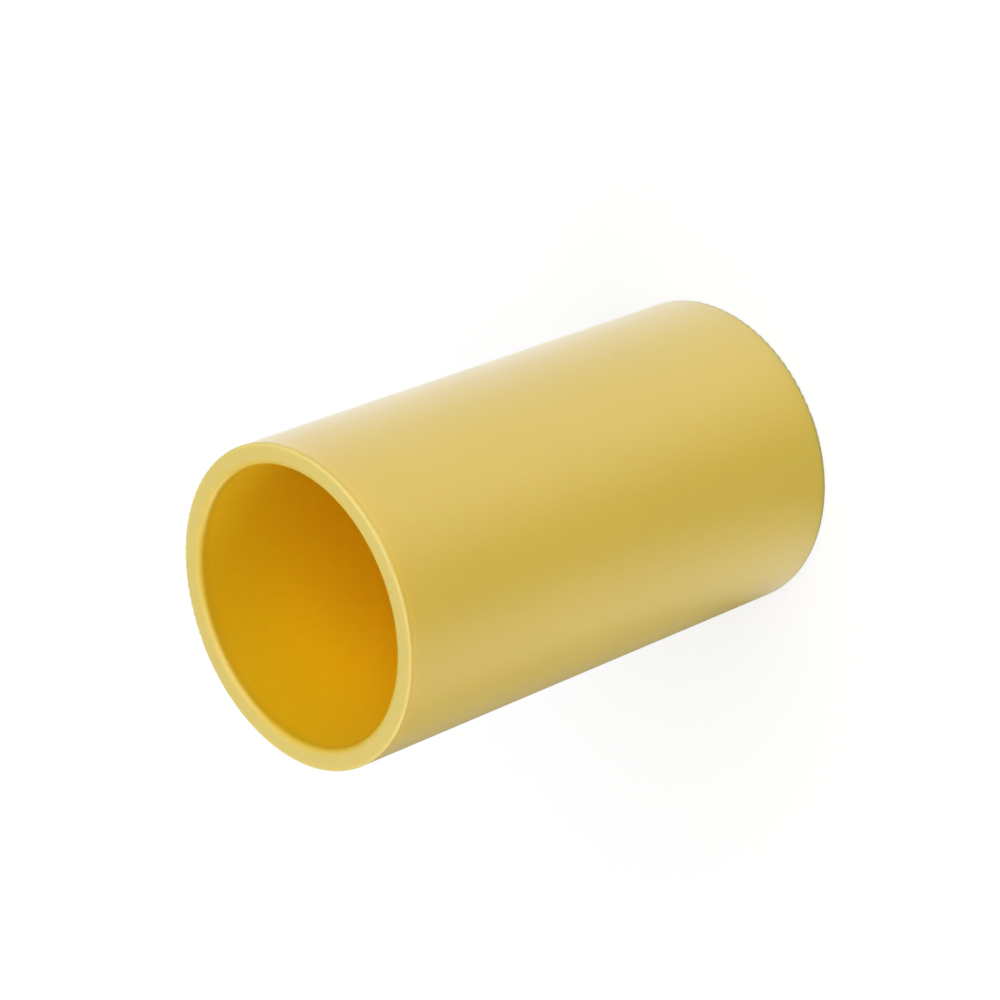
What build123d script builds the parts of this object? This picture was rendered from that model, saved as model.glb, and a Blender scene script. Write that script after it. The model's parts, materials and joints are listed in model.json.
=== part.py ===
from build123d import *
import os

# Straight coupling for rigid plastic conduit: one plain moulded sleeve, with a
# socket at each end and a ring between the sockets that both conduits stop at.
# It stands on its lower end face. The origin is the centre of that face, and
# +Z runs along the bore. Lengths are in millimetres.

# The conduit that each socket takes
conduit_diameter = 22.0
socket_clearance = 0.2  # on the diameter

# The sleeve
sleeve_wall = 1.7
socket_depth = 21.8

# The stop ring between the sockets
stop_width = 1.8
stop_height = 0.9
stop_chamfer = 0.2

# The rounded edges of each end face; the inner one leads the conduit in
outer_edge_radius = 0.2
mouth_edge_radius = 0.5
largest_edge_share = 0.4  # of the wall that an edge is cut from

# Sizes that follow
socket_radius = (conduit_diameter + socket_clearance) / 2
outer_radius = socket_radius + sleeve_wall
crest_radius = socket_radius - stop_height
length = 2 * socket_depth + stop_width


def edge_size(size, wall):
    """The size of a rounded or chamfered edge, kept to its share of its wall."""
    return min(size, largest_edge_share * wall)


def sleeve_section():
    """The sleeve's section on one side of its axis, with the height along Y."""
    bevel = edge_size(stop_chamfer, min(stop_width, stop_height))
    lower_half = [
        # distance from the axis, height, corner radius
        (outer_radius, 0, edge_size(outer_edge_radius, sleeve_wall)),
        (socket_radius, 0, edge_size(mouth_edge_radius, sleeve_wall)),
        (socket_radius, socket_depth, 0),
        (crest_radius + bevel, socket_depth, 0),
        (crest_radius, socket_depth + bevel, 0),
    ]
    upper_half = [(r, length - z, corner) for r, z, corner in reversed(lower_half)]
    outline = lower_half + upper_half
    points = [(r, z) for r, z, corner in outline]
    corners = [corner for r, z, corner in outline]
    return make_face(FilletPolyline(*points, radius=corners, close=True))


def coupling_body():
    """The sleeve, turned from its section about the bore's axis."""
    return revolve(Plane.XZ * sleeve_section(), axis=Axis.Z)


os.makedirs("parts", exist_ok=True)
body = coupling_body()
body.label = "coupling_body"
export_step(body, "parts/coupling_body.step")
print(f"coupling_body: length {length:.2f}, outside diameter {2 * outer_radius:.2f}")
print(f"coupling_body: volume {body.volume:.1f} mm3")
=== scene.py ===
import json
import math

import bpy
from mathutils import Matrix, Vector


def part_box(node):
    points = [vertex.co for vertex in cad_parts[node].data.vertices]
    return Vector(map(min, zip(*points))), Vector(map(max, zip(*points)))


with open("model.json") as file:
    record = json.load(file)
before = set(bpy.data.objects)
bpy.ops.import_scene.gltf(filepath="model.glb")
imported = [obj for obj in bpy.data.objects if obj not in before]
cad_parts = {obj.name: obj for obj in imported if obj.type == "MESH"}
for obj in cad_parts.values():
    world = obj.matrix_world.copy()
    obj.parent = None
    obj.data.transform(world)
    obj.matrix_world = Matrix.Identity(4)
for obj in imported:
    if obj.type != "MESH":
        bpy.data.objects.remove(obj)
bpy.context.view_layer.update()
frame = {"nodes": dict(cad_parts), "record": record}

# The conduit coupling stands on its lower end, with +Z up its bore. Lengths are in metres.
body_low, body_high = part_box("coupling_body")
outer_radius = (body_high.x - body_low.x) / 2
length = body_high.z - body_low.z
centre = (body_low + body_high) / 2
mounts = {mount["name"]: mount for mount in frame["record"]["mounts"]}
mm_per_metre = 1000
socket_radius = mounts["socket_upper"]["dims"]["r_mm"] / mm_per_metre
mouth_edge = 0.0005  # the radius of the mouth's rounded edge

# Camera: a long lens, rolled so that the standing sleeve lies across the picture
lens_mm = 132.0
camera_elevation = math.radians(39.97)
camera_roll = math.radians(-110.46)
camera_distance = 22.52 * outer_radius
aim_right = -0.0725 * outer_radius
aim_up = 0.1590 * outer_radius

# Light: a white studio all round and two soft square panels, aimed at the sleeve
studio_level = 0.42
panels = {
    "key": {"direction": (0.45, -0.85, 1.6), "size": 2.0, "power": 31},
    "side": {"direction": (-1, 0.3, 0.2), "size": 1.0, "power": 12.5},
}
panel_distance = 1.5
diffuse_bounces = 8  # for the light that goes to and fro inside the bore

# The floor: grey in itself, lifted to white for the camera. For the sleeve's gloss it glows in two
# stretches, each round one direction: painted reflections, seen by glossy and transmission rays alone.
# Between the two edges, which are cosines from that direction, a stretch rises from nothing to its
# level.
floor_half = 1.5
floor_grey = 0.25
floor_lift = 0.71
reflection_glow_stretches = (
    {"direction": (1, 0.09, 0), "edges": (-0.25, 0.4), "level": 0.86},
    {"direction": (-0.906, -0.423, 0), "edges": (0.85, 1.0), "level": 0.5},
)

# The plastic's colour, with painted light and shade on the end faces and in the bore
skin_colour = (0.85, 0.63, 0.06)
face_tone_and_painted_shade = (0.60, 0.475, 0.12)  # on the end faces: partly their own paler, duller moulded tone, partly a painted sheen in that paleness, and darkened as painted shade to offset the stronger light that falls on them from above
bore_depth = 0.018
bore_painted_light = (  # by the share of that depth, painted light: redder and lighter deeper down, for light that passes through the wall and bounces inside, and darker at the mouth, painted shade on its rounded edge
    (0, (0.56, 0.41, 0.015)),
    (0.07, (0.77, 0.515, 0.004)),
    (1, (0.90, 0.565, 0.001)),
)
rim_width = 0.0007  # how far the bore's painted light and shade reach out over the mouth's rounded edge
drift_noise = {"scale": 70, "detail": 2}
drift_range = (0.985, 1.015)
scatter_depth = (0.0010, 0.0008, 0.0003)  # how far red, green and blue light travel in it

# The plastic's surface
gloss_noise = {"scale": 160, "detail": 3}
gloss_range = (0.34, 0.40)  # roughness
end_roughness = 0.55
refraction = 1.8  # high for PVC, for a stronger gloss
coat_roughness = 0.3
grain_noise = {"scale": 2500, "detail": 2}
grain_height = 0.00003
grain_strength = 0.15

noise_middle = (0.3, 0.7)  # where nearly all of a noise's values lie


def add_object(name, data):
    """A new object in the scene."""
    made = bpy.data.objects.new(name, data)
    bpy.context.scene.collection.objects.link(made)
    return made


def add_camera():
    back = Vector((0, -math.cos(camera_elevation), math.sin(camera_elevation)))
    upright = Matrix.Rotation(math.pi / 2 - camera_elevation, 4, "X")
    turn = upright @ Matrix.Rotation(camera_roll, 4, "Z")
    right, up = turn.col[0].to_3d(), turn.col[1].to_3d()
    data = bpy.data.cameras.new("camera")
    data.lens = lens_mm
    camera = add_object("camera", data)
    aim = centre + right * aim_right + up * aim_up
    camera.matrix_world = Matrix.Translation(aim + back * camera_distance) @ turn
    bpy.context.scene.camera = camera


def add_panel(name, direction, size, power):
    """A square light in this direction from the sleeve, facing it."""
    data = bpy.data.lights.new(name, "AREA")
    data.shape = "SQUARE"
    data.size = size
    data.energy = power
    panel = add_object(name, data)
    towards = Vector(direction).normalized()
    panel.location = centre + towards * panel_distance
    panel.rotation_mode = "QUATERNION"
    panel.rotation_quaternion = towards.to_track_quat("Z", "Y")


def set_world():
    world = bpy.data.worlds.new("world")
    world.use_nodes = True
    back = world.node_tree.nodes["Background"]
    back.inputs["Color"].default_value = (1, 1, 1, 1)
    back.inputs["Strength"].default_value = studio_level
    bpy.context.scene.world = world


def feed(socket, value):
    """Link a node's input to another node's result, or set it to a constant."""
    if isinstance(value, bpy.types.NodeSocket):
        socket.id_data.links.new(value, socket)
    else:
        socket.default_value = value


# Each of these functions adds one node to a material, and gives the node's result


def math_node(nodes, operation, *values):
    node = nodes.new("ShaderNodeMath")
    node.operation = operation
    for socket, value in zip(node.inputs, values):
        feed(socket, value)
    return node.outputs["Value"]


def vector_node(nodes, operation, result, *vectors):
    """A node of vector maths, whose result is its Vector or its Value."""
    node = nodes.new("ShaderNodeVectorMath")
    node.operation = operation
    for socket, vector in zip(node.inputs, vectors):
        feed(socket, vector)
    return node.outputs[result]


def scaled(nodes, vector, scale):
    node = nodes.new("ShaderNodeVectorMath")
    node.operation = "SCALE"
    feed(node.inputs["Vector"], vector)
    feed(node.inputs["Scale"], scale)
    return node.outputs["Vector"]


def map_range(nodes, value, source, target=(0, 1), curve="LINEAR"):
    """The value's place from one end of the source range to the other, on the target range."""
    node = nodes.new("ShaderNodeMapRange")
    node.interpolation_type = curve
    node.inputs["From Min"].default_value, node.inputs["From Max"].default_value = source
    node.inputs["To Min"].default_value, node.inputs["To Max"].default_value = target
    feed(node.inputs["Value"], value)
    return node.outputs["Result"]


def mix(nodes, share, first, second, data_type="FLOAT"):
    """The first at a share of 0, and the second at 1."""
    node = nodes.new("ShaderNodeMix")
    node.data_type = data_type
    feed(node.inputs["Factor"], share)
    feed(node.inputs["A"], first)
    feed(node.inputs["B"], second)
    return node.outputs["Result"]


def ramp(nodes, share, colours):
    """A colour by its share, from pairs of a share and a colour."""
    node = nodes.new("ShaderNodeValToRGB")
    stops = node.color_ramp.elements
    while len(stops) < len(colours):
        stops.new(0.5)  # anywhere, until it's placed below
    for stop, (place, colour) in zip(stops, colours):
        stop.position = place
        stop.color = (*colour, 1)
    feed(node.inputs["Fac"], share)
    return node.outputs["Color"]


def noise(nodes, place, scale, detail):
    node = nodes.new("ShaderNodeTexNoise")
    node.inputs["Scale"].default_value = scale
    node.inputs["Detail"].default_value = detail
    feed(node.inputs["Vector"], place)
    return node.outputs["Fac"]


def bump(nodes, height):
    node = nodes.new("ShaderNodeBump")
    node.inputs["Strength"].default_value = grain_strength
    node.inputs["Distance"].default_value = grain_height
    feed(node.inputs["Height"], height)
    return node.outputs["Normal"]


# The plastic's material


def distance_from_axis(nodes, place):
    flat = vector_node(nodes, "MULTIPLY", "Vector", place, (1, 1, 0))
    return vector_node(nodes, "LENGTH", "Value", flat)


def distance_from_middle(nodes, place):
    """How far a point is above or below the sleeve's mid length."""
    parts = nodes.new("ShaderNodeSeparateXYZ")
    feed(parts.inputs["Vector"], place)
    above = math_node(nodes, "SUBTRACT", parts.outputs["Z"], length / 2)
    return math_node(nodes, "ABSOLUTE", above)


def plastic_and_painted_light(nodes, place, along, inside, at_end):
    """The skin's colour; on the end faces a tone with painted shade and sheen; down the bore painted
    light, with painted shade on the mouth's edge.
    """
    # The end faces carry painted shade and a painted sheen in their colour
    outside = mix(nodes, at_end, (*skin_colour, 1), (*face_tone_and_painted_shade, 1), "RGBA")
    # Down the bore, painted light, and on the mouth's rounded edge, painted shade
    depth = map_range(nodes, along, (length / 2, length / 2 - bore_depth))
    colour_with_painted_light = mix(nodes, inside, outside, ramp(nodes, depth, bore_painted_light), "RGBA")
    # The pigment is even, with a faint, broad drift in its lightness
    drift = map_range(nodes, noise(nodes, place, **drift_noise), noise_middle, drift_range)
    return scaled(nodes, colour_with_painted_light, drift)


def pvc_material():
    """Yellow rigid PVC with a satin, moulded skin."""
    material = bpy.data.materials.new("yellow_pvc")
    material.use_nodes = True
    nodes = material.node_tree.nodes
    shader = nodes["Principled BSDF"]
    place = nodes.new("ShaderNodeTexCoord").outputs["Object"]

    # Where a point is: in the bore or on the mouth's edge, and on an end face or its edges
    from_axis = distance_from_axis(nodes, place)
    inside = map_range(nodes, from_axis, (socket_radius + rim_width, socket_radius), curve="SMOOTHSTEP")
    along = distance_from_middle(nodes, place)
    at_end = map_range(nodes, along, (length / 2 - mouth_edge, length / 2), curve="SMOOTHSTEP")

    feed(shader.inputs["Base Color"], plastic_and_painted_light(nodes, place, along, inside, at_end))

    # Light travels some way through the plastic
    shader.subsurface_method = "RANDOM_WALK"
    shader.inputs["Subsurface Weight"].default_value = 1
    shader.inputs["Subsurface Scale"].default_value = 1
    shader.inputs["Subsurface Radius"].default_value = scatter_depth

    # Uneven gloss, duller at the ends, with a shine over it on the outer wall alone
    gloss = map_range(nodes, noise(nodes, place, **gloss_noise), noise_middle, gloss_range)
    feed(shader.inputs["Roughness"], mix(nodes, at_end, gloss, end_roughness))
    shader.inputs["IOR"].default_value = refraction
    off_the_wall = math_node(nodes, "MAXIMUM", inside, at_end)
    feed(shader.inputs["Coat Weight"], math_node(nodes, "SUBTRACT", 1, off_the_wall))
    shader.inputs["Coat Roughness"].default_value = coat_roughness

    # A fine grain, too shallow to see as bumps
    feed(shader.inputs["Normal"], bump(nodes, noise(nodes, place, **grain_noise)))
    return material


# The floor and its material


def reflection_glow_stretch(nodes, bearing, direction, edges, level):
    """A painted reflection: how strongly the floor glows for gloss, by its bearing from the sleeve."""
    facing = vector_node(nodes, "DOT_PRODUCT", "Value", bearing, Vector(direction).normalized())
    return map_range(nodes, facing, edges, (0, level))


def painted_reflection_glow(nodes, rays):
    """The painted reflection glow that the sleeve's gloss finds on the floor, which is none inside the
    sleeve.
    """
    place = nodes.new("ShaderNodeTexCoord").outputs["Object"]
    bearing = vector_node(nodes, "NORMALIZE", "Vector", place)
    white = 0
    for stretch in reflection_glow_stretches:
        white = math_node(nodes, "ADD", white, reflection_glow_stretch(nodes, bearing, **stretch))
    from_sleeve = vector_node(nodes, "LENGTH", "Value", place)
    outside = math_node(nodes, "GREATER_THAN", from_sleeve, outer_radius)
    mirrored = math_node(nodes, "MAXIMUM", rays["Is Glossy Ray"], rays["Is Transmission Ray"])
    shown = math_node(nodes, "MULTIPLY", mirrored, outside)
    return math_node(nodes, "MULTIPLY", shown, white)


def floor_material():
    """A grey that keeps shadows, with white added for the camera and a painted reflection glow for
    gloss.
    """
    material = bpy.data.materials.new("floor")
    material.use_nodes = True
    nodes = material.node_tree.nodes
    nodes.clear()
    diffuse = nodes.new("ShaderNodeBsdfDiffuse")
    diffuse.inputs["Color"].default_value = (floor_grey, floor_grey, floor_grey, 1)

    glow = nodes.new("ShaderNodeEmission")
    rays = nodes.new("ShaderNodeLightPath").outputs
    seen = math_node(nodes, "MULTIPLY", rays["Is Camera Ray"], floor_lift)
    # The painted reflection glow for gloss, and the white lift for the camera
    feed(glow.inputs["Strength"], math_node(nodes, "ADD", painted_reflection_glow(nodes, rays), seen))

    both = nodes.new("ShaderNodeAddShader")
    feed(both.inputs[0], diffuse.outputs["BSDF"])
    feed(both.inputs[1], glow.outputs["Emission"])
    out = nodes.new("ShaderNodeOutputMaterial")
    feed(out.inputs["Surface"], both.outputs["Shader"])
    return material


def add_floor():
    corners = [(-1, -1), (1, -1), (1, 1), (-1, 1)]
    mesh = bpy.data.meshes.new("floor")
    mesh.from_pydata([(x * floor_half, y * floor_half, 0) for x, y in corners], [], [(0, 1, 2, 3)])
    mesh.materials.append(floor_material())
    add_object("floor", mesh)


add_camera()
set_world()
add_floor()
for name, panel in panels.items():
    add_panel(name, **panel)

body = frame["nodes"]["coupling_body"]
body.data.materials.clear()
body.data.materials.append(pvc_material())

scene = bpy.context.scene
scene.view_settings.view_transform = "Standard"
scene.cycles.use_denoising = True
scene.cycles.diffuse_bounces = diffuse_bounces
